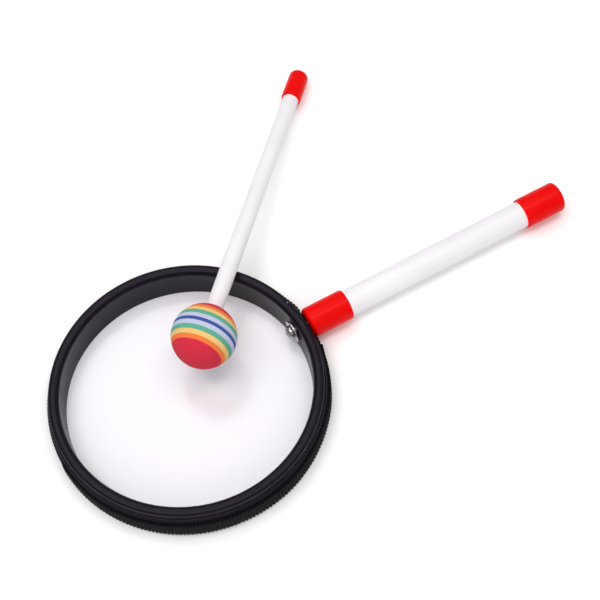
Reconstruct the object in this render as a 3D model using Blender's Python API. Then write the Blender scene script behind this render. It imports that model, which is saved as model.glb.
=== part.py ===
"""Lollipop drum: a film-headed hand drum on a stick, lying head down with its mallet leant on the rim."""

import math

import bmesh
import bpy
from mathutils import Matrix, Vector

# Fit between pieces that touch, and facets of the turned pieces and their round edges
CLEARANCE = 0.0003
RING_FACETS = 72
ROD_FACETS = 24
BALL_FACETS = 32
ROUND_STEPS = 6                 # broad rounds
EDGE_STEPS = 4                  # rounded edges
SMOOTH_ANGLE = math.radians(35)
MERGE_DISTANCE = 1e-7

# Moulded ring
RING_OUTER_RADIUS = 0.0750      # side face above and below the bead
RING_WALL = 0.0067              # thickness at the drumhead
RING_DRAFT = 0.0014             # how far the wall's inside opens towards the rim
RING_HEIGHT = 0.0204            # crest of the rim above the table
RIM_INNER_EDGE = 0.0010         # radius of the rim's inner edge
RIM_SHOULDER = 0.0018           # radius of the rim's outer shoulder
BEAD_HEIGHT = 0.0140            # bead that covers the top of the webbing
BEAD_RADIUS = 0.0012
FOOT_EDGE = 0.0008              # bearing edge that the film turns round

# Film drumhead and the webbing over its turned-up skirt
FILM_THICKNESS = 0.0003
SKIRT_DROP = 0.0012             # skirt's edge below the webbing's top
WEBBING_THICKNESS = 0.0020
WEBBING_WIDTH = 0.0117
WEBBING_EDGE = 0.0006
WEBBING_PRESS = 0.0015          # how far the handle's cap is drawn into it
SEAM_OFFSET = 0.0069            # side of the handle's cap to the seam between the webbing's ends
SEAM_GAP = 0.0008

# Handle: a dowel in two vinyl caps, held by one screw through the ring
HANDLE_LEAN = math.radians(3.3)     # off square to the ring, as it was screwed up
ROD_RADIUS = 0.0077
ROD_LENGTH = 0.1619
CAP_WALL = 0.0008
CAP_LENGTH = 0.0250
CAP_EDGE = 0.0024               # outer radius of a cap's closed end
SCREW_HEIGHT = 0.0107           # handle's axis above the table
SCREW_RADIUS = 0.0020
SCREW_LENGTH = 0.0300           # under the head
SCREW_POINT = 0.0040
SCREW_HEAD_RADIUS = 0.0041
SCREW_HEAD_HEIGHT = 0.0026
RECESS_SPAN = 0.0044            # cross recess in the head
RECESS_WIDTH = 0.0010
RECESS_DEPTH = 0.0013
WASHER_RADIUS = 0.0066
WASHER_HOLE_RADIUS = 0.0026
WASHER_THICKNESS = 0.0010

# Mallet: a dowel with a vinyl cap and a ball cut from bonded foam sheets
SHAFT_RADIUS = 0.0048
SHAFT_LENGTH = 0.2017
SHAFT_EDGE = 0.0005             # chamfer on the end inside the ball
SHAFT_SEAT = 0.0032             # how far the dowel goes past the ball's middle
TIP_CAP_WALL = 0.0007
TIP_CAP_LENGTH = 0.0214
TIP_CAP_EDGE = 0.0030
BALL_RADIUS = 0.0180
STRIPE = 0.00255                # one foam sheet
MIDDLE_STRIPE = 0.0021          # the thin sheet in the middle
STACK_OFFSET = 0.0008           # the thin sheet's middle, off the ball's, away from the dowel
RIM_CROSSING = math.radians(39.9)   # where round the ring the mallet lies
MALLET_BEARING = math.radians(43.4)
BALL_REACH = 0.04825            # ball's middle to the rim, along the shaft
SETTLE_PASSES = 30              # rounds of working out how the mallet leans

STRIPE_COLOURS = ("red", "orange", "yellow", "green", "lavender", "blue")

# sRGB colour, roughness and metallic value of each finish
FINISHES = {
    "black_plastic": ((36, 36, 40), 0.42, 0.0),
    "film": ((246, 246, 251), 0.18, 0.0),
    "black_webbing": ((27, 26, 27), 0.85, 0.0),
    "white_paint": ((243, 243, 242), 0.45, 0.0),
    "red_vinyl": ((236, 24, 20), 0.28, 0.0),
    "chrome_plate": ((214, 214, 216), 0.14, 1.0),
    "foam_red": ((214, 42, 62), 0.90, 0.0),
    "foam_orange": ((250, 136, 58), 0.90, 0.0),
    "foam_yellow": ((250, 204, 124), 0.90, 0.0),
    "foam_green": ((88, 174, 142), 0.90, 0.0),
    "foam_lavender": ((206, 207, 238), 0.90, 0.0),
    "foam_blue": ((44, 66, 156), 0.90, 0.0),
}


def linear(byte):
    value = byte / 255
    if value <= 0.04045:
        return value / 12.92
    return ((value + 0.055) / 1.055) ** 2.4


def finish(name):
    material = bpy.data.materials.get(name)
    if material:
        return material
    colour, roughness, metallic = FINISHES[name]
    material = bpy.data.materials.new(name)
    material.use_nodes = True
    shader = material.node_tree.nodes["Principled BSDF"]
    shader.inputs["Base Color"].default_value = [linear(byte) for byte in colour] + [1.0]
    shader.inputs["Roughness"].default_value = roughness
    shader.inputs["Metallic"].default_value = metallic
    return material


def arc(centre, radius, start, end, steps=EDGE_STEPS):
    """Points of a round edge, from one angle in degrees to another."""
    angles = [math.radians(start + (end - start) * step / steps) for step in range(steps + 1)]
    return [(centre[0] + radius * math.cos(a), centre[1] + radius * math.sin(a)) for a in angles]


def add_object(name, bm, finish_name, parent=None, along=0.0):
    """Turns a bmesh into a named object, set at a distance along its parent's axis."""
    bmesh.ops.recalc_face_normals(bm, faces=bm.faces)
    mesh = bpy.data.meshes.new(name)
    bm.to_mesh(mesh)
    bm.free()
    mesh.shade_smooth()
    mesh.set_sharp_from_angle(angle=SMOOTH_ANGLE)
    if finish_name:
        mesh.materials.append(finish(finish_name))
    obj = bpy.data.objects.new(name, mesh)
    bpy.context.collection.objects.link(obj)
    obj.parent = parent
    obj.location.z = along
    return obj


def add_axis(name, location, direction_euler):
    axis = bpy.data.objects.new(name, None)
    bpy.context.collection.objects.link(axis)
    axis.location = location
    axis.rotation_euler = direction_euler
    return axis


def turned(outline, facets, start=0.0, sweep=2 * math.pi):
    """Spins an outline of (radius, height) points about Z; a part turn gets flat ends."""
    bm = bmesh.new()
    turn = Matrix.Rotation(start, 4, "Z")
    verts = [bm.verts.new(turn @ Vector((radius, 0, height))) for radius, height in outline]
    on_axis = outline[0][0] == 0 and outline[-1][0] == 0
    last = len(verts) - 1 if on_axis else len(verts)
    edges = [bm.edges.new((verts[i], verts[(i + 1) % len(verts)])) for i in range(last)]
    whole = math.isclose(sweep, 2 * math.pi)
    bmesh.ops.spin(bm, geom=verts + edges, cent=(0, 0, 0), axis=(0, 0, 1), angle=sweep,
                   steps=facets, use_merge=whole)
    bmesh.ops.remove_doubles(bm, verts=bm.verts, dist=MERGE_DISTANCE)
    if not whole:
        ends = [edge for edge in bm.edges if edge.is_boundary]
        bmesh.ops.holes_fill(bm, edges=ends, sides=0)
    return bm


def mark_cutter(cutter):
    cutter.hide_render = True
    cutter.display_type = "WIRE"
    return cutter


def cut(obj, cutter):
    modifier = obj.modifiers.new("cut_" + cutter.name, "BOOLEAN")
    modifier.operation = "DIFFERENCE"
    modifier.solver = "EXACT"
    modifier.object = cutter


# Levels and radii shared by the pieces stacked on the ring
foot_height = FILM_THICKNESS + CLEARANCE
ring_inner = RING_OUTER_RADIUS - RING_WALL
skirt_inner = RING_OUTER_RADIUS + CLEARANCE
skirt_outer = skirt_inner + FILM_THICKNESS
webbing_inner = skirt_outer + CLEARANCE
webbing_outer = webbing_inner + WEBBING_THICKNESS
webbing_top = BEAD_HEIGHT - BEAD_RADIUS - CLEARANCE
skirt_top = webbing_top - SKIRT_DROP
cap_radius = ROD_RADIUS + CLEARANCE + CAP_WALL
bore_radius = SCREW_RADIUS + CLEARANCE


def wall_radius(height):
    """Inner wall of the ring, which opens towards the rim."""
    rise = (height - foot_height) / (RING_HEIGHT - RIM_INNER_EDGE - foot_height)
    return ring_inner + RING_DRAFT * rise


def ring_outline():
    edge_level = RING_HEIGHT - RIM_INNER_EDGE
    shoulder = (RING_OUTER_RADIUS - RIM_SHOULDER, RING_HEIGHT - RIM_SHOULDER)
    foot = (RING_OUTER_RADIUS - FOOT_EDGE, foot_height + FOOT_EDGE)
    outline = [(ring_inner, foot_height)]
    outline += arc((wall_radius(edge_level) + RIM_INNER_EDGE, edge_level), RIM_INNER_EDGE, 180, 90)
    outline += arc(shoulder, RIM_SHOULDER, 90, 0, ROUND_STEPS)
    outline += arc((RING_OUTER_RADIUS, BEAD_HEIGHT), BEAD_RADIUS, 90, -90, ROUND_STEPS)
    outline += arc(foot, FOOT_EDGE, 0, -90)
    return outline


def film_outline():
    foot = (RING_OUTER_RADIUS - FOOT_EDGE, foot_height + FOOT_EDGE)
    outline = [(0, 0)]
    outline += arc(foot, FOOT_EDGE + CLEARANCE + FILM_THICKNESS, -90, 0)
    outline += [(skirt_outer, skirt_top), (skirt_inner, skirt_top)]
    outline += arc(foot, FOOT_EDGE + CLEARANCE, 0, -90)
    outline += [(0, FILM_THICKNESS)]
    return outline


def webbing_outline():
    low = webbing_top - WEBBING_WIDTH + WEBBING_EDGE
    high = webbing_top - WEBBING_EDGE
    round_at = webbing_outer - WEBBING_EDGE
    outline = [(webbing_inner, webbing_top - WEBBING_WIDTH)]
    outline += arc((round_at, low), WEBBING_EDGE, -90, 0)
    outline += arc((round_at, high), WEBBING_EDGE, 0, 90)
    outline += [(webbing_inner, webbing_top)]
    return outline


def cap_outline(inner, wall, edge, length, hole=0.0):
    """A dipped cap with its closed end at zero, and a hole there where a screw passes."""
    outer = inner + wall
    outline = [(hole, 0)]
    outline += arc((outer - edge, edge), edge, -90, 0)
    outline += [(outer, length), (inner, length)]
    outline += arc((outer - edge, edge), edge - wall, 0, -90)
    outline += [(hole, wall)]
    return outline


def rod_outline(radius, length, edge, bore, depth):
    """A dowel with rounded ends and a drilled pilot hole that ends in a cone."""
    outline = [(0, depth), (bore, depth - bore), (bore, 0)]
    outline += arc((radius - edge, edge), edge, -90, 0)
    outline += arc((radius - edge, length - edge), edge, 0, 90)
    outline += [(0, length)]
    return outline


def screw_outline():
    """A round-headed wood screw with its seat at zero and its head below."""
    dome = (SCREW_HEAD_RADIUS ** 2 + SCREW_HEAD_HEIGHT ** 2) / (2 * SCREW_HEAD_HEIGHT)
    half_angle = math.degrees(math.asin(SCREW_HEAD_RADIUS / dome))
    outline = arc((0, dome - SCREW_HEAD_HEIGHT), dome, -90, -90 + half_angle, ROUND_STEPS)
    outline[0] = (0, -SCREW_HEAD_HEIGHT)
    outline += [(SCREW_RADIUS, 0), (SCREW_RADIUS, SCREW_LENGTH - SCREW_POINT), (0, SCREW_LENGTH)]
    return outline


def cross_prism(span, width, depth):
    """A plus-shaped block, its top at zero."""
    bm = bmesh.new()
    a, b = span / 2, width / 2
    corners = ((a, -b), (a, b), (b, b), (b, a), (-b, a), (-b, b),
               (-a, b), (-a, -b), (-b, -b), (-b, -a), (b, -a), (b, -b))
    face = bm.faces.new([bm.verts.new((x, y, 0)) for x, y in corners])
    grown = bmesh.ops.extrude_face_region(bm, geom=[face])
    moved = [item for item in grown["geom"] if isinstance(item, bmesh.types.BMVert)]
    bmesh.ops.translate(bm, verts=moved, vec=(0, 0, depth))
    return bm


def build_drum():
    """The ring, the film over its foot and the webbing round the film's skirt."""
    shell = add_object("drum_shell", turned(ring_outline(), RING_FACETS), "black_plastic")
    film = add_object("drumhead", turned(film_outline(), RING_FACETS), "film")
    seam = -math.asin((cap_radius + SEAM_OFFSET) / webbing_outer)
    gap = SEAM_GAP / webbing_outer
    band = turned(webbing_outline(), RING_FACETS, seam + gap / 2, 2 * math.pi - gap)
    webbing = add_object("edge_webbing", band, "black_webbing")
    return shell, film, webbing


def build_handle(drilled):
    """The dowel, its caps and the screw that holds them through the drilled pieces of the drum."""
    lowest = wall_radius(SCREW_HEIGHT - WASHER_RADIUS)
    washer_back = math.sqrt(lowest ** 2 - WASHER_RADIUS ** 2) - CLEARANCE
    pivot = washer_back - WASHER_THICKNESS / 2
    square = add_axis("washer_axis", (pivot, 0, SCREW_HEIGHT), (0, math.pi / 2, 0))
    axis = add_axis("handle_axis", (pivot, 0, SCREW_HEIGHT), (0, math.pi / 2, -HANDLE_LEAN))

    half = WASHER_THICKNESS / 2
    washer = [(WASHER_HOLE_RADIUS, -half), (WASHER_RADIUS, -half)]
    washer += [(WASHER_RADIUS, half), (WASHER_HOLE_RADIUS, half)]
    add_object("screw_washer", turned(washer, ROD_FACETS), "chrome_plate", square)

    head_tilt = SCREW_HEAD_RADIUS * math.sin(HANDLE_LEAN)
    head_seat = -half - CLEARANCE - head_tilt
    screw = add_object("handle_screw", turned(screw_outline(), ROD_FACETS), "chrome_plate", axis, head_seat)
    run_in = SCREW_HEAD_HEIGHT
    recess = cross_prism(RECESS_SPAN, RECESS_WIDTH, run_in + RECESS_DEPTH)
    recess_at = head_seat - SCREW_HEAD_HEIGHT - run_in
    cut(screw, mark_cutter(add_object("recess_cutter", recess, None, axis, recess_at)))

    press_face = webbing_outer - WEBBING_PRESS - pivot * math.cos(HANDLE_LEAN)
    cap_seat = press_face + CLEARANCE
    press_radius = cap_radius + CLEARANCE
    press_end = cap_seat + WEBBING_THICKNESS
    press = [(0, press_face), (press_radius, press_face), (press_radius, press_end), (0, press_end)]
    webbing = drilled[-1]
    cut(webbing, mark_cutter(add_object("press_cutter", turned(press, ROD_FACETS), None, axis)))

    bore = [(0, -half), (bore_radius, -half), (bore_radius, cap_seat), (0, cap_seat)]
    bore_cutter = mark_cutter(add_object("bore_cutter", turned(bore, ROD_FACETS), None, axis))
    for obj in drilled:
        cut(obj, bore_cutter)

    inner = ROD_RADIUS + CLEARANCE
    rod_start = cap_seat + CAP_WALL + CLEARANCE
    rod_edge = CAP_EDGE - CAP_WALL - CLEARANCE
    pilot_depth = head_seat + SCREW_LENGTH - rod_start + bore_radius
    rod = rod_outline(ROD_RADIUS, ROD_LENGTH, rod_edge, bore_radius, pilot_depth)
    add_object("handle_rod", turned(rod, ROD_FACETS), "white_paint", axis, rod_start)

    front = cap_outline(inner, CAP_WALL, CAP_EDGE, CAP_LENGTH, bore_radius)
    add_object("handle_front_cap", turned(front, ROD_FACETS), "red_vinyl", axis, cap_seat)
    end = cap_outline(inner, CAP_WALL, CAP_EDGE, CAP_LENGTH)
    end_at = rod_start + ROD_LENGTH + CLEARANCE + CAP_WALL
    end_cap = add_object("handle_end_cap", turned(end, ROD_FACETS), "red_vinyl", axis, end_at)
    end_cap.rotation_euler.x = math.pi


def mallet_tilt(tip_radius, rest_height):
    """Slope of the mallet with its shaft on the rim and the edge of its capped tip on the table."""
    tip_at = SHAFT_LENGTH - SHAFT_SEAT + CLEARANCE + TIP_CAP_WALL - TIP_CAP_EDGE
    tilt = 0.0
    for _ in range(SETTLE_PASSES):
        rim_axis = rest_height + (SHAFT_RADIUS + CLEARANCE) / math.cos(tilt)
        tip_axis = (tip_radius - TIP_CAP_EDGE) * math.cos(tilt) + TIP_CAP_EDGE
        tilt = math.asin((rim_axis - tip_axis) / (tip_at - BALL_REACH))
    return tilt


def layer_outline(low, high, bored_from):
    """One foam sheet, cut to the ball and bored for the dowel from a level upwards."""
    bore = SHAFT_RADIUS + CLEARANCE
    start = math.degrees(math.asin(low / BALL_RADIUS))
    end = math.degrees(math.asin(high / BALL_RADIUS))
    steps = math.ceil((end - start) * BALL_FACETS / 360)
    below = 0 if low < bored_from else bore
    above = 0 if high <= bored_from else bore
    outline = [(below, low)] + arc((0, 0), BALL_RADIUS, start, end, steps) + [(above, high)]
    if below < above:
        outline += [(bore, bored_from), (0, bored_from)]
    return outline


def build_mallet():
    """The dowel leant over the rim, its cap and the striped ball."""
    tip_inner = SHAFT_RADIUS + CLEARANCE
    tip_radius = tip_inner + TIP_CAP_WALL
    rest_radius = RING_OUTER_RADIUS - RIM_SHOULDER
    tilt = mallet_tilt(tip_radius, RING_HEIGHT)
    back = BALL_REACH * math.cos(tilt)
    centre_x = rest_radius * math.cos(RIM_CROSSING) - back * math.cos(MALLET_BEARING)
    centre_y = rest_radius * math.sin(RIM_CROSSING) - back * math.sin(MALLET_BEARING)
    rim_axis = RING_HEIGHT + (SHAFT_RADIUS + CLEARANCE) / math.cos(tilt)
    centre_z = rim_axis + BALL_REACH * math.sin(tilt)
    axis = add_axis("mallet_axis", (centre_x, centre_y, centre_z), (0, math.pi / 2 + tilt, MALLET_BEARING))

    tip_edge = TIP_CAP_EDGE - TIP_CAP_WALL - CLEARANCE
    shaft = [(0, 0), (SHAFT_RADIUS - SHAFT_EDGE, 0), (SHAFT_RADIUS, SHAFT_EDGE)]
    shaft += arc((SHAFT_RADIUS - tip_edge, SHAFT_LENGTH - tip_edge), tip_edge, 0, 90)
    shaft += [(0, SHAFT_LENGTH)]
    add_object("mallet_shaft", turned(shaft, ROD_FACETS), "white_paint", axis, -SHAFT_SEAT)

    tip = cap_outline(tip_inner, TIP_CAP_WALL, TIP_CAP_EDGE, TIP_CAP_LENGTH)
    tip_at = SHAFT_LENGTH - SHAFT_SEAT + CLEARANCE + TIP_CAP_WALL
    tip_cap = add_object("mallet_end_cap", turned(tip, ROD_FACETS), "red_vinyl", axis, tip_at)
    tip_cap.rotation_euler.x = math.pi

    half = [MIDDLE_STRIPE / 2 + STRIPE * step for step in range(len(STRIPE_COLOURS) - 1)]
    mouth = math.sqrt(BALL_RADIUS ** 2 - (SHAFT_RADIUS + CLEARANCE) ** 2)
    sheets = [-level for level in reversed(half)] + half
    levels = [-BALL_RADIUS] + [level - STACK_OFFSET for level in sheets] + [mouth]
    colours = STRIPE_COLOURS + STRIPE_COLOURS[-2::-1]
    bored_from = -SHAFT_SEAT - CLEARANCE
    glue = CLEARANCE / 2
    for number, colour in enumerate(colours):
        low = levels[number] + (glue if number > 0 else 0)
        high = levels[number + 1] - (glue if number < len(colours) - 1 else 0)
        name = f"ball_layer_{number + 1:02d}_{colour}"
        bm = turned(layer_outline(low, high, bored_from), BALL_FACETS)
        add_object(name, bm, "foam_" + colour, axis)


for old in list(bpy.data.objects):
    bpy.data.objects.remove(old, do_unlink=True)

build_handle(build_drum())
build_mallet()
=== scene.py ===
import math

import bmesh
import bpy
import numpy as np
from mathutils import Matrix, Vector


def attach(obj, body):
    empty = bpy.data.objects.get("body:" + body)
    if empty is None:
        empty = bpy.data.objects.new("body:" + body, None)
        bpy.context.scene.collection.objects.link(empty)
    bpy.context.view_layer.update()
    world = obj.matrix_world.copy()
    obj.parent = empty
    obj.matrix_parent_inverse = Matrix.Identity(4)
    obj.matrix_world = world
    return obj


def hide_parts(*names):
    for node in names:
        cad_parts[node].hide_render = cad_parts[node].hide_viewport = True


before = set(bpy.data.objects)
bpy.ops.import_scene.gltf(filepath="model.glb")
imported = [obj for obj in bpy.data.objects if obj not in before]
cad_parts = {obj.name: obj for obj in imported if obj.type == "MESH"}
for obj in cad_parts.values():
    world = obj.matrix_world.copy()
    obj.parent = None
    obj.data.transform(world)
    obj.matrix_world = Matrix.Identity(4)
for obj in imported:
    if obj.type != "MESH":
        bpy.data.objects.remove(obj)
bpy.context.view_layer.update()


# Places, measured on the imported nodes

def nodeSpots(nodeName):        # every corner of a node, once
    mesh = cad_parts[nodeName].data
    return np.unique(np.round([vert.co[:] for vert in mesh.vertices], 6), axis=0)


def turnedAxis(nodeName):       # a point on the axis of a long turned node, and its way out from the drum
    spots = nodeSpots(nodeName)
    middle = spots.mean(axis=0)
    along = np.linalg.svd(spots - middle)[2][0]
    return middle, along if along[0] > 0 else -along


def reachOn(nodeName, axis):    # start and end of a node on an axis, and its radius
    offsets = nodeSpots(nodeName) - axis[0]
    down = offsets @ axis[1]
    out = np.linalg.norm(offsets - np.outer(down, axis[1]), axis=1)
    return down.min(), down.max(), out.max()


def placeOn(axis):              # local Z runs along the axis, local Y looks up
    ahead = Vector(axis[1])
    level = Vector((0, 0, 1)).cross(ahead).normalized()
    place = Matrix((level, ahead.cross(level), ahead)).transposed().to_4x4()
    place.translation = Vector(axis[0])
    return place


drumAxis = (np.zeros(3), np.array((0.0, 0.0, 1.0)))
handleAxis = turnedAxis("handle_rod")
malletAxis = turnedAxis("mallet_shaft")
washerAxis = (nodeSpots("screw_washer").mean(axis=0), np.array((1.0, 0.0, 0.0)))


# Modelling steps that the pieces share

tolerance = {"pick": 2e-6, "weld": 1e-6, "facing": 0.99}


def deselectAll():
    if bpy.context.object and bpy.context.object.mode == "EDIT":
        bpy.ops.object.mode_set(mode="OBJECT")
    bpy.ops.object.select_all(action="DESELECT")


def takeUp(piece):
    deselectAll()
    piece.select_set(True)
    bpy.context.view_layer.objects.active = piece


def settle(piece):              # moves a piece's place and turn into its mesh
    takeUp(piece)
    bpy.ops.object.transform_apply(location=True, rotation=True, scale=True)


def pickSpots(piece, spots):    # selects the outline's corners at these (radius, height) spots
    bpy.ops.mesh.select_mode(type="VERT")
    bpy.ops.mesh.select_all(action="DESELECT")
    shape = bmesh.from_edit_mesh(piece.data)
    for vert in shape.verts:
        here = (vert.co.x, vert.co.z)
        vert.select = any(math.dist(here, spot) < tolerance["pick"] for spot in spots)
    shape.select_flush_mode()
    bmesh.update_edit_mesh(piece.data)


def drawOutline(name, corners, closed=False):   # one point of a plane, pulled from corner to corner
    deselectAll()
    bpy.ops.mesh.primitive_plane_add()
    piece = bpy.context.object
    piece.name = piece.data.name = name
    bpy.ops.object.mode_set(mode="EDIT")
    bpy.ops.mesh.select_mode(type="VERT")
    bpy.ops.mesh.select_all(action="SELECT")
    bpy.ops.mesh.merge(type="CENTER")
    bpy.ops.transform.translate(value=(corners[0][0], 0, corners[0][1]))
    for here, there in zip(corners, corners[1:]):
        step = (there[0] - here[0], 0, there[1] - here[1])
        bpy.ops.mesh.extrude_region_move(TRANSFORM_OT_translate={"value": step})
    if closed:
        pickSpots(piece, (corners[0], corners[-1]))
        bpy.ops.mesh.edge_face_add()
    return piece


def roundOff(piece, spots, width, steps):
    pickSpots(piece, spots)
    bpy.ops.mesh.bevel(offset=width, segments=steps, affect="VERTICES", profile=0.5)


def spinOutline(steps, angle):  # about Z, clockwise from above
    bpy.ops.mesh.select_all(action="SELECT")
    bpy.ops.mesh.spin(steps=steps, angle=angle, center=(0, 0, 0), axis=(0, 0, 1))


def faceOutward():
    bpy.ops.mesh.select_all(action="SELECT")
    bpy.ops.mesh.normals_make_consistent(inside=False)
    bpy.ops.object.mode_set(mode="OBJECT")


def turnRound(steps):           # turns the outline in hand into a closed piece
    spinOutline(steps, 2 * math.pi)
    bpy.ops.mesh.select_all(action="SELECT")
    bpy.ops.mesh.remove_doubles(threshold=tolerance["weld"])
    faceOutward()


def cutAway(piece, cutter):     # takes the cutter's shape out of the piece, and drops the cutter
    takeUp(piece)
    bpy.ops.object.modifier_add(type="BOOLEAN")
    cut = piece.modifiers[-1]
    cut.operation = "DIFFERENCE"
    cut.solver = "EXACT"
    cut.object = cutter
    bpy.ops.object.modifier_apply(modifier=cut.name)
    bpy.data.objects.remove(cutter, do_unlink=True)


def putDown(piece, axis):       # keeps the made shape as an attribute, then moves the mesh to its place
    made = piece.data.attributes.new("madeAt", "FLOAT_VECTOR", "POINT")
    made.data.foreach_set("vector", np.array([vert.co[:] for vert in piece.data.vertices]).ravel())
    piece.matrix_world = placeOn(axis)
    settle(piece)


def dress(piece, material, body, nodeName, smoothTo=40):
    takeUp(piece)
    piece.data.materials.clear()
    piece.data.materials.append(material)
    bpy.ops.object.shade_smooth_by_angle(angle=math.radians(smoothTo))
    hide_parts(nodeName)
    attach(piece, body)


# Shader steps that the finishes share

noiseSpan = (0.3, 0.7)          # most of a noise lies between these


def addNode(tree, kind, values=None, **settings):
    made = tree.nodes.new("ShaderNode" + kind)
    for name, value in settings.items():
        setattr(made, name, value)
    for name, value in (values or {}).items():
        socket = made.inputs[name]
        if isinstance(value, bpy.types.NodeSocket):
            tree.links.new(value, socket)
        else:
            socket.default_value = value
    return made


def doMath(tree, how, first, second=None, third=None):
    inputs = {i: value for i, value in enumerate((first, second, third)) if value is not None}
    return addNode(tree, "Math", inputs, operation=how).outputs[0]


def spread(tree, value, low, high, toLow=0.0, toHigh=1.0):      # maps low..high to toLow..toHigh
    inputs = {"Value": value, "From Min": low, "From Max": high, "To Min": toLow, "To Max": toHigh}
    return addNode(tree, "MapRange", inputs).outputs["Result"]


def noiseOn(tree, at, scale, detail, rough=0.5):
    values = {"Vector": at, "Scale": scale, "Detail": detail, "Roughness": rough}
    return addNode(tree, "TexNoise", values).outputs["Fac"]


def spreadNoise(tree, noise, toLow, toHigh):
    return spread(tree, noise, *noiseSpan, toLow, toHigh)


def mixColour(tree, share, first, second):
    return addNode(tree, "Mix", {0: share, 6: first, 7: second}, data_type="RGBA").outputs[2]


def shown(red, green, blue):    # a colour as it shows, 0 to 255, made linear
    parts = [part / 255 for part in (red, green, blue)]
    return [part / 12.92 if part < 0.04045 else ((part + 0.055) / 1.055) ** 2.4 for part in parts] + [1.0]


def newGroup(name, numbers, outputs):   # a shader group that takes a place and some numbers
    tree = bpy.data.node_groups.new(name, "ShaderNodeTree")
    tree.interface.new_socket("Vector", in_out="INPUT", socket_type="NodeSocketVector")
    for socketName in numbers:
        tree.interface.new_socket(socketName, in_out="INPUT", socket_type="NodeSocketFloat")
    for socketName in outputs:
        tree.interface.new_socket(socketName, in_out="OUTPUT", socket_type="NodeSocketFloat")
    return tree, tree.nodes.new("NodeGroupInput").outputs, tree.nodes.new("NodeGroupOutput").inputs


def fillGroup(tree, group, at, numbers):
    return addNode(tree, "Group", {"Vector": at, **numbers}, node_tree=group).outputs


def newFinish(name, constants):         # a Principled material and its own constants
    material = bpy.data.materials.new(name)
    material.use_nodes = True
    sockets = material.node_tree.nodes["Principled BSDF"].inputs
    for socketName, value in constants.items():
        sockets[socketName].default_value = value
    return material, material.node_tree, sockets


def madeAt(tree):               # a turned piece's own coordinates, before it was put in place
    return addNode(tree, "Attribute", attribute_name="madeAt").outputs["Vector"]


def objectAt(tree):
    return addNode(tree, "TexCoord").outputs["Object"]


def addSpecks(tree, at, specks, ground, colour):
    mask = fillGroup(tree, dustFall, at, specks)["Mask"]
    return mixColour(tree, mask, ground, shown(*colour))


def coat(tree, sockets, colour, roughness, height, bump):       # bump is (strength, distance)
    values = {"Height": height, "Strength": bump[0], "Distance": bump[1]}
    normal = addNode(tree, "Bump", values).outputs["Normal"]
    for socketName, value in (("Base Color", colour), ("Roughness", roughness), ("Normal", normal)):
        tree.links.new(value, sockets[socketName])


def makeMoldedSkin():           # fine grain and broad patches of a moulded or dipped skin
    patchShare = 0.6
    numbers = ("Grain", "Patch", "Rough Low", "Rough High")
    tree, given, out = newGroup("moldedSkin", numbers, ("Height", "Roughness"))
    grain = noiseOn(tree, given["Vector"], given["Grain"], detail=3.0)
    patch = noiseOn(tree, given["Vector"], given["Patch"], detail=4.0)
    rough = spreadNoise(tree, patch, given["Rough Low"], given["Rough High"])
    tree.links.new(doMath(tree, "MULTIPLY_ADD", patch, patchShare, grain), out["Height"])
    tree.links.new(rough, out["Roughness"])
    return tree


def makeDustFall():             # a few pale specks, each a small round spot in a coarse cell
    tree, given, out = newGroup("dustFall", ("Cells", "Kept", "Size"), ("Mask",))
    cells = addNode(tree, "TexVoronoi", {"Vector": given["Vector"], "Scale": given["Cells"]}).outputs
    hue = addNode(tree, "SeparateColor", {"Color": cells["Color"]}).outputs
    size = doMath(tree, "MULTIPLY", hue["Green"], given["Size"])
    spot = doMath(tree, "LESS_THAN", cells["Distance"], size)
    kept = doMath(tree, "LESS_THAN", hue["Red"], given["Kept"])
    tree.links.new(doMath(tree, "MULTIPLY", spot, kept), out["Mask"])
    return tree


def makeDowelGrain():           # brush streaks and raised grain under paint, along the dowel
    smudgeScale, shadeSpan, roughSpan = 70.0, (0.10, 0.42), (0.34, 0.5)
    tree, given, out = newGroup("dowelGrain", ("Across", "Along"), ("Shade", "Height", "Roughness"))
    stretch = addNode(tree, "CombineXYZ", {"X": given["Across"], "Y": given["Across"], "Z": given["Along"]})
    fibre = addNode(tree, "VectorMath", {0: given["Vector"], 1: stretch.outputs[0]}, operation="MULTIPLY")
    streak = noiseOn(tree, fibre.outputs[0], scale=1.0, detail=4.0)
    smudge = noiseOn(tree, given["Vector"], smudgeScale, detail=5.0)
    shade = doMath(tree, "MULTIPLY", streak, smudge)
    tree.links.new(spread(tree, shade, *shadeSpan), out["Shade"])
    tree.links.new(streak, out["Height"])
    tree.links.new(spreadNoise(tree, smudge, *roughSpan), out["Roughness"])
    return tree


def makeFoamCells():            # the cut cells of sheet foam, and slow changes of shade
    cloudScale, cloudShare, pitSpan, shadeSpan = 420.0, 0.8, (0.0, 0.55), (0.45, 1.35)
    tree, given, out = newGroup("foamCells", ("Cells",), ("Shade", "Height"))
    cells = addNode(tree, "TexVoronoi", {"Vector": given["Vector"], "Scale": given["Cells"]}).outputs
    cloud = noiseOn(tree, given["Vector"], cloudScale, detail=6.0, rough=0.65)
    pits = spread(tree, cells["Distance"], *pitSpan)
    height = doMath(tree, "MULTIPLY_ADD", cloud, cloudShare, pits)
    tree.links.new(spread(tree, height, *shadeSpan), out["Shade"])
    tree.links.new(height, out["Height"])
    return tree


moldedSkin = makeMoldedSkin()
dustFall = makeDustFall()
dowelGrain = makeDowelGrain()
foamCells = makeFoamCells()
print("shader groups ready")


# Ring: one moulded section, turned

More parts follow.
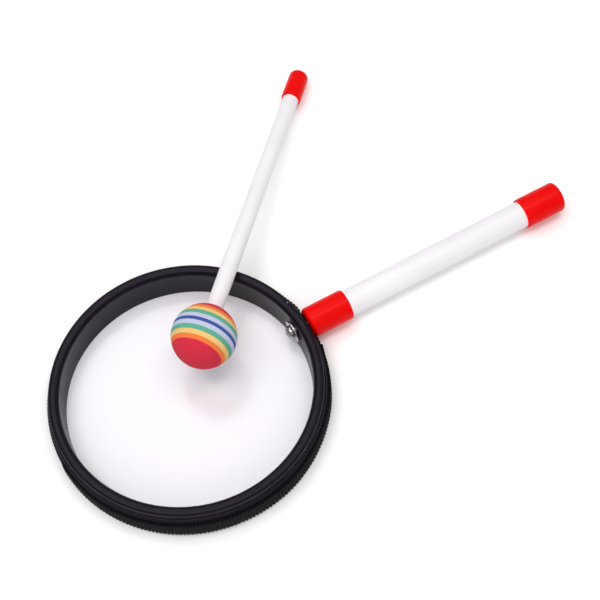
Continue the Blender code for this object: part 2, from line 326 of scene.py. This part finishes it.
ring = {"wall": 0.0067, "bendAt": 0.0130, "bendOut": 0.00092, "rimOut": 0.0006, "rimEdge": 0.0032,
        "crownIn": 0.0011, "crownDrop": 0.0010, "crownEdge": 0.0011, "shoulderEdge": 0.00035,
        "reachOut": 0.0012, "lipRoot": 0.0146, "lipTop": 0.0142, "lipBase": 0.01245, "lipOut": 0.0013,
        "lipEdge": 0.00085, "footEdge": 0.0008, "sides": 288,
        "colour": (13, 9, 15), "worn": (18, 14, 21), "dust": (165, 165, 168),
        "scuff": {"scale": 240.0, "detail": 6.0, "rough": 0.7}, "scuffSpan": (0.35, 0.75),
        "skin": {"Grain": 3600.0, "Patch": 90.0, "Rough Low": 0.26, "Rough High": 0.36},
        "specks": {"Cells": 290.0, "Kept": 0.05, "Size": 0.16}, "bump": (0.12, 0.0002),
        "shader": {"Specular IOR Level": 0.21, "Specular Tint": (0.84, 0.76, 1.0, 1.0)}}
ring["foot"], ring["top"], ringReach = reachOn("drum_shell", drumAxis)
ring["outer"] = ringReach - ring["reachOut"]
ring["inner"] = ring["outer"] - ring["wall"]


def ringFinish():
    material, tree, sockets = newFinish("black_plastic", ring["shader"])
    at = objectAt(tree)
    skin = fillGroup(tree, moldedSkin, at, ring["skin"])
    worn = spread(tree, noiseOn(tree, at, **ring["scuff"]), *ring["scuffSpan"])
    black = mixColour(tree, worn, shown(*ring["colour"]), shown(*ring["worn"]))
    colour = addSpecks(tree, at, ring["specks"], black, ring["dust"])
    coat(tree, sockets, colour, skin["Roughness"], skin["Height"], ring["bump"])
    return material


def makeRing():
    bend = (ring["inner"] + ring["bendOut"], ring["bendAt"])
    rim = (ring["inner"] + ring["rimOut"], ring["top"])
    crown = (ring["outer"] - ring["crownIn"], ring["top"])
    shoulder = (ring["outer"], ring["top"] - ring["crownDrop"])
    lipOuter = ring["outer"] + ring["lipOut"]
    lipTop, lipBase = (lipOuter, ring["lipTop"]), (lipOuter, ring["lipBase"])
    foot = (ring["outer"], ring["foot"])
    corners = [(ring["inner"], ring["foot"]), bend, rim, crown, shoulder, (ring["outer"], ring["lipRoot"]),
               lipTop, lipBase, (ring["outer"], ring["lipBase"]), foot]
    piece = drawOutline("drum_ring", corners, closed=True)
    roundOff(piece, (rim,), ring["rimEdge"], steps=12)
    roundOff(piece, (crown,), ring["crownEdge"], steps=12)
    roundOff(piece, (shoulder,), ring["shoulderEdge"], steps=6)
    roundOff(piece, (lipTop, lipBase), ring["lipEdge"], steps=8)
    roundOff(piece, (foot,), ring["footEdge"], steps=4)
    turnRound(ring["sides"])
    return piece


# Film head: a flat disc with its skirt turned up round the ring's foot

film = {"thick": 0.0003, "gap": 0.0003, "sides": 288,
        "colour": (250, 247, 255), "haze": (253, 250, 255), "dust": (205, 203, 210),
        "slackScale": 34.0, "hazeScale": 130.0, "rough": (0.13, 0.19),
        "specks": {"Cells": 260.0, "Kept": 0.02, "Size": 0.1}, "bump": (0.05, 0.002),
        "shader": {"Specular IOR Level": 0.4}}
film["skirtTop"] = reachOn("drumhead", drumAxis)[1]


def filmFinish():
    material, tree, sockets = newFinish("film", film["shader"])
    at = objectAt(tree)
    slack = noiseOn(tree, at, film["slackScale"], detail=2.0)
    haze = noiseOn(tree, at, film["hazeScale"], detail=5.0)
    white = mixColour(tree, haze, shown(*film["colour"]), shown(*film["haze"]))
    colour = addSpecks(tree, at, film["specks"], white, film["dust"])
    coat(tree, sockets, colour, spreadNoise(tree, haze, *film["rough"]), slack, film["bump"])
    return material


def makeFilm():
    skirtInner = ring["outer"] + film["gap"]
    skirtOuter = skirtInner + film["thick"]
    innerEdge = ring["footEdge"] + film["gap"]
    outerTurn, innerTurn = (skirtOuter, 0.0), (skirtInner, film["thick"])
    corners = [(0.0, 0.0), outerTurn, (skirtOuter, film["skirtTop"]), (skirtInner, film["skirtTop"]),
               innerTurn, (0.0, film["thick"])]
    piece = drawOutline("film_head", corners)
    roundOff(piece, (outerTurn,), innerEdge + film["thick"], steps=6)
    roundOff(piece, (innerTurn,), innerEdge, steps=6)
    turnRound(film["sides"])
    return piece


# Webbing: one rib, copied round the ring, with its ends butted beside the handle

webbing = {"thick": 0.0020, "edge": 0.0005, "topDrop": 0.0003, "ribs": 230, "ribSteps": 6, "ribDeep": 0.0006,
           "crestPower": 0.7, "weld": 0.00002, "seamAt": -11.5, "seamGap": 0.0008, "endLift": 0.0008,
           "liftLength": 0.010, "press": 0.0001,
           "swells": ((-118, 34, 0.0005), (-75, 14, 0.0003), (-32, 16, 0.0005), (9, 4, 0.0006),
                      (146, 34, -0.0010)),      # angle, spread and height
           # valley and crest: painted shade, the black cloth darker in the valleys between ribs than on the
           # crests
           "valley": (5, 4, 6), "crest": (22, 20, 24), "lint": (150, 148, 150),
           "fuzz": {"scale": 5200.0, "detail": 3.0, "rough": 0.7}, "pick": 0.0009, "pickShare": 0.3,
           "weaveShare": 0.5, "ribShare": 0.4, "raisedSpan": (-0.25, 0.7), "rough": (0.75, 0.95),
           "specks": {"Cells": 420.0, "Kept": 0.02, "Size": 0.15}, "bump": (0.5, 0.0003),
           "shader": {"Specular IOR Level": 0.10, "Sheen Weight": 0.04, "Sheen Roughness": 0.5}}
webbing["low"], webbing["high"], webbing["outer"] = reachOn("edge_webbing", drumAxis)
webbing["inner"] = webbing["outer"] - webbing["thick"]
webbing["high"] -= webbing["topDrop"]   # clear of the ring's lip
webbing["gapTurn"] = webbing["seamGap"] / webbing["outer"]
webbing["pitch"] = (2 * math.pi - webbing["gapTurn"]) / webbing["ribs"]
webbing["start"] = math.radians(webbing["seamAt"]) + webbing["gapTurn"] / 2
webbing["end"] = webbing["start"] - webbing["gapTurn"]


def webbingFinish():
    material, tree, sockets = newFinish("black_webbing", webbing["shader"])
    at = objectAt(tree)
    parts = addNode(tree, "SeparateXYZ", {"Vector": at}).outputs
    turn = doMath(tree, "ARCTAN2", parts["Y"], parts["X"])
    ahead = doMath(tree, "SUBTRACT", turn, webbing["start"])
    valley = doMath(tree, "COSINE", doMath(tree, "MULTIPLY", ahead, 2 * math.pi / webbing["pitch"]))
    pick = doMath(tree, "SINE", doMath(tree, "MULTIPLY", parts["Z"], 2 * math.pi / webbing["pick"]))
    fuzz = noiseOn(tree, at, **webbing["fuzz"])
    weave = doMath(tree, "MULTIPLY_ADD", pick, webbing["pickShare"], fuzz)
    # painted shade: the colour goes darker in the valleys between ribs and between picks and lighter on the
    # crests; the fuzz adds random tone
    sunk = doMath(tree, "MULTIPLY", valley, -webbing["ribShare"])
    raised = doMath(tree, "MULTIPLY_ADD", weave, webbing["weaveShare"], sunk)
    share = spread(tree, raised, *webbing["raisedSpan"])
    clothWithRibShade = mixColour(tree, share, shown(*webbing["valley"]), shown(*webbing["crest"]))
    colour = addSpecks(tree, at, webbing["specks"], clothWithRibShade, webbing["lint"])
    coat(tree, sockets, colour, spreadNoise(tree, fuzz, *webbing["rough"]), weave, webbing["bump"])
    return material


def shapeRib(piece):            # a round crest with a valley on each side
    middle = (webbing["inner"] + webbing["outer"]) / 2
    shape = bmesh.from_edit_mesh(piece.data)
    for vert in shape.verts:
        radius = math.hypot(vert.co.x, vert.co.y)
        if radius > middle:
            share = abs(math.atan2(vert.co.y, vert.co.x)) / webbing["pitch"]
            crest = max(0.0, math.sin(math.pi * share)) ** webbing["crestPower"]
            sunk = radius - webbing["ribDeep"] * (1 - crest)
            vert.co.x *= sunk / radius
            vert.co.y *= sunk / radius
    bmesh.update_edit_mesh(piece.data)


def copyRib(piece):             # all round, each copy welded to the last, and the two ends filled
    turner = bpy.data.objects.new("rib_turner", None)
    bpy.context.scene.collection.objects.link(turner)
    turner.rotation_euler = (0, 0, -webbing["pitch"])       # on, the way that the spin went
    takeUp(piece)
    bpy.ops.object.modifier_add(type="ARRAY")
    copies = piece.modifiers[-1]
    copies.count = webbing["ribs"]
    copies.use_relative_offset = False
    copies.use_object_offset = True
    copies.offset_object = turner
    copies.use_merge_vertices = True
    copies.merge_threshold = webbing["weld"]
    bpy.ops.object.modifier_apply(modifier=copies.name)
    bpy.data.objects.remove(turner, do_unlink=True)
    bpy.ops.object.mode_set(mode="EDIT")
    bpy.ops.mesh.select_mode(type="EDGE")
    bpy.ops.mesh.select_all(action="DESELECT")
    bpy.ops.mesh.select_non_manifold()
    bpy.ops.mesh.fill_holes(sides=0)
    faceOutward()


def layWebbing(piece):          # swells outside, an end that stands proud, and the cap pressed into it
    capFace, _, capRadius = reachOn("handle_front_cap", handleAxis)
    for vert in piece.data.vertices:
        turn = math.degrees(math.atan2(vert.co.y, vert.co.x))
        radius = math.hypot(vert.co.x, vert.co.y)
        swell = sum(height * math.exp(-((turn - at) / wide) ** 2) for at, wide, height in webbing["swells"])
        out = swell * (radius - webbing["inner"]) / webbing["thick"]        # its back stays on the skirt
        past = math.radians(webbing["seamAt"] - turn) * webbing["outer"]
        if 0 < past < webbing["liftLength"]:
            out += webbing["endLift"] * (1 - past / webbing["liftLength"]) ** 2
        vert.co.x *= 1 + out / radius
        vert.co.y *= 1 + out / radius
        offset = np.array(vert.co[:]) - handleAxis[0]
        down = offset @ handleAxis[1]
        away = np.linalg.norm(offset - down * handleAxis[1])
        back = down - capFace + webbing["press"]
        if 0 < back < capRadius and away < capRadius:
            vert.co -= Vector(handleAxis[1]) * back


def makeWebbing():
    top = (webbing["outer"], webbing["high"])
    base = (webbing["outer"], webbing["low"])
    corners = [(webbing["inner"], webbing["low"]), base, top, (webbing["inner"], webbing["high"])]
    piece = drawOutline("edge_webbing_ribs", corners, closed=True)
    roundOff(piece, (top, base), webbing["edge"], steps=3)
    spinOutline(webbing["ribSteps"], webbing["pitch"])
    shapeRib(piece)
    copyRib(piece)
    piece.rotation_euler = (0, 0, webbing["end"])
    settle(piece)
    layWebbing(piece)
    return piece


# Washer and screw: plated steel

plate = {"dull": (148, 146, 147), "bright": (200, 199, 201), "polish": {"scale": 420.0, "detail": 5.0},
         "rough": (0.10, 0.24), "bump": (0.06, 0.0002), "shader": {"Metallic": 1.0}}
washer = {"hole": 0.0026, "edge": 0.00025, "sides": 96}
screw = {"shank": 0.0020, "point": 0.0040, "headRadius": 0.0041, "headHeight": 0.0026, "crown": 0.0024,
         "recessSpan": 0.0046, "recessWidth": 0.0010, "recessDeep": 0.0013, "recessTaper": 0.72, "sides": 96}


def chromeFinish():
    material, tree, sockets = newFinish("chrome_plate", plate["shader"])
    polish = noiseOn(tree, objectAt(tree), **plate["polish"])
    colour = mixColour(tree, polish, shown(*plate["dull"]), shown(*plate["bright"]))
    coat(tree, sockets, colour, spreadNoise(tree, polish, *plate["rough"]), polish, plate["bump"])
    return material


def makeWasher():
    low, high, radius = reachOn("screw_washer", washerAxis)
    corners = [(washer["hole"], low), (radius, low), (radius, high), (washer["hole"], high)]
    piece = drawOutline("flat_washer", corners, closed=True)
    roundOff(piece, corners, washer["edge"], steps=3)
    turnRound(washer["sides"])
    return piece


def makeRecess(crown):          # a cross that narrows from above the crown to its floor
    deselectAll()
    bpy.ops.mesh.primitive_cube_add(size=screw["recessWidth"])
    cutter = bpy.context.object
    bpy.ops.object.mode_set(mode="EDIT")
    bpy.ops.mesh.select_mode(type="FACE")
    half = screw["recessWidth"] / 2
    arm = screw["recessSpan"] / 2 - half
    for way in (Vector((1, 0, 0)), Vector((-1, 0, 0)), Vector((0, 1, 0)), Vector((0, -1, 0))):
        bpy.ops.mesh.select_all(action="DESELECT")
        shape = bmesh.from_edit_mesh(cutter.data)
        for face in shape.faces:        # the middle's own face on this side, not the other arms' flanks
            inLine = abs(face.calc_center_median().dot(way.yxz)) < half
            face.select = inLine and face.normal.dot(way) > tolerance["facing"]
        bmesh.update_edit_mesh(cutter.data)
        bpy.ops.mesh.extrude_region_move(TRANSFORM_OT_translate={"value": way * arm})
    bpy.ops.object.mode_set(mode="OBJECT")
    for vert in cutter.data.vertices:
        deep = vert.co.z > 0
        vert.co.z = crown + screw["recessDeep"] if deep else crown - half
        if deep:
            vert.co.x *= screw["recessTaper"]
            vert.co.y *= screw["recessTaper"]
    return cutter


def makeScrew():
    low, high, _ = reachOn("handle_screw", handleAxis)
    seat = low + screw["headHeight"]
    brow = (screw["headRadius"], low)
    corners = [(0.0, low), brow, (screw["headRadius"], seat), (screw["shank"], seat),
               (screw["shank"], high - screw["point"]), (0.0, high)]
    piece = drawOutline("round_head_screw", corners)
    roundOff(piece, (brow,), screw["crown"], steps=10)
    turnRound(screw["sides"])
    cutAway(piece, makeRecess(low))
    return piece


# Dowels: white paint over wood

rod = {"edge": 0.0015, "sides": 96, "colour": (245, 242, 246), "streak": (251, 249, 251),
       "speck": (172, 166, 166), "grain": {"Across": 900.0, "Along": 28.0},
       "specks": {"Cells": 210.0, "Kept": 0.02, "Size": 0.09}, "bump": (0.10, 0.0003),
       "shader": {"Specular IOR Level": 0.45}}
shaft = {"edge": 0.0005, "sides": 72}


def dowelFinish():
    material, tree, sockets = newFinish("white_paint", rod["shader"])
    at = madeAt(tree)
    grain = fillGroup(tree, dowelGrain, at, rod["grain"])
    white = mixColour(tree, grain["Shade"], shown(*rod["colour"]), shown(*rod["streak"]))
    colour = addSpecks(tree, at, rod["specks"], white, rod["speck"])
    coat(tree, sockets, colour, grain["Roughness"], grain["Height"], rod["bump"])
    return material


def makeDowel(name, nodeName, axis, size):
    low, high, radius = reachOn(nodeName, axis)
    lower, upper = (radius, low), (radius, high)
    piece = drawOutline(name, [(0.0, low), lower, upper, (0.0, high)])
    roundOff(piece, (lower, upper), size["edge"], steps=4)
    turnRound(size["sides"])
    return piece


# Caps: dipped vinyl

cap = {"wall": 0.0008, "edge": 0.0024, "lip": 0.0008, "grip": 0.000285, "hole": 0.0023, "sides": 128,
       "colour": (238, 5, 4), "thin": (244, 10, 7), "dust": (226, 120, 112),
       "depth": {"scale": 160.0, "detail": 3.0},
       "skin": {"Grain": 1500.0, "Patch": 120.0, "Rough Low": 0.24, "Rough High": 0.36},
       "specks": {"Cells": 300.0, "Kept": 0.012, "Size": 0.1}, "bump": (0.10, 0.0003),
       "shader": {"Specular IOR Level": 0.09}}
tipCap = {"wall": 0.0007, "edge": 0.0030}


def vinylFinish():
    material, tree, sockets = newFinish("red_vinyl", cap["shader"])
    at = madeAt(tree)
    skin = fillGroup(tree, moldedSkin, at, cap["skin"])
    depth = noiseOn(tree, at, **cap["depth"])
    red = mixColour(tree, depth, shown(*cap["colour"]), shown(*cap["thin"]))
    colour = addSpecks(tree, at, cap["specks"], red, cap["dust"])
    coat(tree, sockets, colour, skin["Roughness"], skin["Height"], cap["bump"])
    return material


def makeCap(name, nodeName, axis, size, closedFirst, hole=0.0):
    low, high, radius = reachOn(nodeName, axis)
    shut, mouth = (low, high) if closedFirst else (high, low)
    inward = 1 if closedFirst else -1
    wall = size["wall"] + cap["grip"]           # tight on the dowel
    bore = radius - wall
    floor = shut + inward * wall
    outerTurn, innerTurn, lip = (radius, shut), (bore, floor), (radius, mouth)
    corners = [(hole, shut), outerTurn, lip, (bore, mouth), innerTurn, (hole, floor)]
    piece = drawOutline(name, corners, closed=hole > 0)
    roundOff(piece, (outerTurn,), size["edge"], steps=10)
    roundOff(piece, (innerTurn,), size["edge"] - wall, steps=6)
    roundOff(piece, (lip,), cap["lip"], steps=4)
    turnRound(cap["sides"])
    return piece


# Ball: a sphere cut into bonded foam sheets

ball = {"radius": 0.0180, "segments": 128, "rings": 96, "edge": 0.00010, "rimAngle": 0.5,
        "bore": 0.0051, "boreSides": 64, "seat": 0.0035, "boredAbove": -0.0070,
        "nodeGap": 0.0003, "joint": 0.00002, "stackShift": 0.0004, "stackLean": (-2.3, -4.0, 0.0),
        "tipBelow": -0.0110, "tipMore": 0.0005,
        "cells": {"Cells": 2600.0}, "darker": 0.93, "lighter": 0.06, "rough": (0.95, 0.82),
        "bump": (0.35, 0.00025),
        "shader": {"Specular IOR Level": 0.12, "Sheen Weight": 0.05, "Sheen Roughness": 0.6}}
foamColours = {"red": (224, 36, 61), "orange": (253, 126, 58), "yellow": (247, 203, 122),
               "green": (92, 175, 146), "lavender": (198, 204, 230), "blue": (60, 80, 164)}
ball["half"] = (ball["nodeGap"] - ball["joint"]) / 2        # closes the gap that the nodes keep for glue
layerNames = sorted(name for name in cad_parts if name.startswith("ball_layer"))
tipEnd = reachOn(layerNames[0], malletAxis)[0]
ballAxis = (malletAxis[0] + (tipEnd + ball["radius"]) * malletAxis[1], malletAxis[1])


def foamFinish(colourName):
    material, tree, sockets = newFinish("foam_" + colourName, ball["shader"])
    cells = fillGroup(tree, foamCells, madeAt(tree), ball["cells"])
    dark = [part * ball["darker"] for part in foamColours[colourName]]
    light = [part + (255 - part) * ball["lighter"] for part in foamColours[colourName]]
    colour = mixColour(tree, cells["Shade"], shown(*dark), shown(*light))
    rough = spread(tree, cells["Shade"], 0.0, 1.0, *ball["rough"])
    coat(tree, sockets, colour, rough, cells["Height"], ball["bump"])
    return material


def sheetFace(level):           # the stack sits a little towards the dowel, and its first sheet is thicker
    return level + ball["stackShift"] + (ball["tipMore"] if level < ball["tipBelow"] else 0.0)


def cutSphere(level, keepAbove):
    bpy.ops.mesh.select_all(action="SELECT")
    bpy.ops.mesh.bisect(plane_co=(0, 0, level), plane_no=(0, 0, 1), use_fill=True,
                        clear_inner=keepAbove, clear_outer=not keepAbove)


def roundRims(piece):           # the sheet's cut rims
    bpy.ops.mesh.select_mode(type="EDGE")
    bpy.ops.mesh.select_all(action="DESELECT")
    shape = bmesh.from_edit_mesh(piece.data)
    for edge in shape.edges:
        edge.select = edge.calc_face_angle(0.0) > ball["rimAngle"]
    bmesh.update_edit_mesh(piece.data)
    bpy.ops.mesh.bevel(offset=ball["edge"], segments=2, affect="EDGES")
    bpy.ops.object.mode_set(mode="OBJECT")


def makeDrill():
    deselectAll()
    bpy.ops.mesh.primitive_cylinder_add(vertices=ball["boreSides"], radius=ball["bore"],
                                        depth=2 * ball["radius"],
                                        location=(0, 0, ball["radius"] - ball["seat"]))
    return bpy.context.object


def makeBallLayer(nodeName):
    low, high, _ = reachOn(nodeName, ballAxis)
    deselectAll()
    bpy.ops.mesh.primitive_uv_sphere_add(segments=ball["segments"], ring_count=ball["rings"],
                                         radius=ball["radius"])
    piece = bpy.context.object
    piece.name = piece.data.name = "foam_" + nodeName.removeprefix("ball_")
    bpy.ops.object.mode_set(mode="EDIT")
    if nodeName != layerNames[0]:
        cutSphere(sheetFace(low) - ball["half"], keepAbove=True)
    if nodeName != layerNames[-1]:
        cutSphere(sheetFace(high) + ball["half"], keepAbove=False)
    roundRims(piece)
    piece.rotation_euler = [math.radians(part) for part in ball["stackLean"]]   # not square to the dowel
    settle(piece)
    if high > ball["boredAbove"]:
        cutAway(piece, makeDrill())
    return piece


blackPlastic, headFilm, blackWebbing = ringFinish(), filmFinish(), webbingFinish()
chromePlate, whitePaint, redVinyl = chromeFinish(), dowelFinish(), vinylFinish()
foams = {name: foamFinish(name) for name in foamColours}
print("finishes ready")

drumRing, filmHead, edgeWebbing = makeRing(), makeFilm(), makeWebbing()
dress(drumRing, blackPlastic, "drum", "drum_shell")
dress(filmHead, headFilm, "drum", "drumhead")
dress(edgeWebbing, blackWebbing, "drum", "edge_webbing", smoothTo=60)
print("drum ready")

flatWasher, roundScrew = makeWasher(), makeScrew()
putDown(flatWasher, washerAxis)
putDown(roundScrew, handleAxis)
dress(flatWasher, chromePlate, "drum", "screw_washer")
dress(roundScrew, chromePlate, "drum", "handle_screw", smoothTo=30)

handleRod = makeDowel("handle_dowel", "handle_rod", handleAxis, rod)
frontCap = makeCap("front_cap", "handle_front_cap", handleAxis, cap, closedFirst=True, hole=cap["hole"])
endCap = makeCap("end_cap", "handle_end_cap", handleAxis, cap, closedFirst=False)
for piece in (handleRod, frontCap, endCap):
    putDown(piece, handleAxis)
dress(handleRod, whitePaint, "drum", "handle_rod")
dress(frontCap, redVinyl, "drum", "handle_front_cap")
dress(endCap, redVinyl, "drum", "handle_end_cap")
print("handle ready")

malletShaft = makeDowel("mallet_dowel", "mallet_shaft", malletAxis, shaft)
malletCap = makeCap("mallet_cap", "mallet_end_cap", malletAxis, tipCap, closedFirst=False)
putDown(malletShaft, malletAxis)
putDown(malletCap, malletAxis)
dress(malletShaft, whitePaint, "mallet", "mallet_shaft")
dress(malletCap, redVinyl, "mallet", "mallet_end_cap")
for nodeName in layerNames:
    layer = makeBallLayer(nodeName)
    colourName = nodeName.rsplit("_", 1)[1]
    putDown(layer, ballAxis)
    dress(layer, foams[colourName], "mallet", nodeName)
print("mallet ready")


# Floor, light and camera

stage = {"floorSize": 8.0, "floorDrop": 0.0002, "floorColour": 0.95, "floorSeen": 1.15, "floorGloss": 0.1,
         "skyBase": 0.36, "skyRise": 0.24, "skyCurve": 1.5}
lamps = {"left": {"place": (-0.5, 0.2, 1.3), "aim": (-0.5, 0.2, 0.0), "turn": -60.0, "size": (0.75, 0.35),
                  "power": 3.43, "mirrored": True},
         "front": {"place": (0.22, -0.15, 1.3), "aim": (0.22, -0.15, 0.0), "turn": 11.0, "size": (1.2, 0.35),
                   "power": 4.35, "mirrored": True},
         "back": {"place": (0.15, 0.72, 1.3), "aim": (0.15, 0.72, 0.0), "turn": -13.6, "size": (0.8, 0.5),
                  "power": 2.95, "mirrored": True},
         "fill": {"place": (-0.5, -1.2, 0.8), "aim": (0.0, 0.0, 0.0), "turn": 0.0, "size": (1.4, 0.8),
                  "power": 4.39, "mirrored": False}}
camera = {"place": (-0.10418, -0.37319, 0.7955), "pitch": 61.29, "roll": 7.23, "turn": -25.57, "lens": 96.0,
          "sensor": 36.0, "near": 0.01, "far": 20.0}


def seenShare(tree):            # 1 where the eye sees the floor, and some of it in gloss or glass
    path = addNode(tree, "LightPath").outputs
    either = doMath(tree, "MAXIMUM", path["Is Glossy Ray"], path["Is Transmission Ray"])
    mirrored = doMath(tree, "MULTIPLY", either, stage["floorGloss"])
    return doMath(tree, "MAXIMUM", path["Is Camera Ray"], mirrored)


def makeFloor():
    deselectAll()
    bpy.ops.mesh.primitive_plane_add(size=stage["floorSize"], location=(0, 0, -stage["floorDrop"]))
    floor = bpy.context.object
    floor.name = "floor"
    material = bpy.data.materials.new("pale_floor")
    material.use_nodes = True
    tree = material.node_tree
    tree.nodes.clear()
    plain, seen = stage["floorColour"], stage["floorSeen"]
    white = mixColour(tree, seenShare(tree), (plain, plain, plain, 1), (seen, seen, seen, 1))
    paper = addNode(tree, "BsdfDiffuse", {"Color": white})
    addNode(tree, "OutputMaterial", {"Surface": paper.outputs[0]})
    floor.data.materials.append(material)


def makeWorld():
    world = bpy.data.worlds.new("pale_room")
    bpy.context.scene.world = world
    world.use_nodes = True
    tree = world.node_tree
    ways = addNode(tree, "SeparateXYZ", {"Vector": addNode(tree, "TexCoord").outputs["Generated"]}).outputs
    rise = doMath(tree, "POWER", doMath(tree, "MAXIMUM", ways["Z"], 0.0), stage["skyCurve"])
    light = doMath(tree, "MULTIPLY_ADD", rise, stage["skyRise"], stage["skyBase"])      # brightest overhead
    background = tree.nodes["Background"].inputs
    background["Color"].default_value = (1, 1, 1, 1)
    tree.links.new(light, background["Strength"])


def makeLamp(name, settings):
    lamp = bpy.data.lights.new(name, "AREA")
    lamp.shape = "RECTANGLE"
    lamp.size, lamp.size_y = settings["size"]
    lamp.energy = settings["power"]
    panel = bpy.data.objects.new(name, lamp)
    bpy.context.scene.collection.objects.link(panel)
    aim = Vector(settings["aim"]) - Vector(settings["place"])
    facing = aim.to_track_quat("-Z", "Y").to_matrix().to_4x4()
    turn = Matrix.Rotation(math.radians(settings["turn"]), 4, "Z")
    panel.matrix_world = Matrix.Translation(settings["place"]) @ turn @ facing
    panel.visible_camera = False
    panel.visible_glossy = settings["mirrored"]


def makeCamera():
    lens = bpy.data.cameras.new("camera")
    lens.lens, lens.sensor_width = camera["lens"], camera["sensor"]
    lens.clip_start, lens.clip_end = camera["near"], camera["far"]
    eye = bpy.data.objects.new("camera", lens)
    bpy.context.scene.collection.objects.link(eye)
    turn = Matrix.Rotation(math.radians(camera["turn"]), 4, "Z")
    tilt = Matrix.Rotation(math.radians(90 - camera["pitch"]), 4, "X")
    roll = Matrix.Rotation(math.radians(-camera["roll"]), 4, "Z")
    eye.matrix_world = Matrix.Translation(camera["place"]) @ turn @ tilt @ roll
    bpy.context.scene.camera = eye


makeFloor()
makeWorld()
for lampName, settings in lamps.items():
    makeLamp(lampName, settings)
makeCamera()
bpy.context.scene.view_settings.view_transform = "Standard"
print("stage ready")
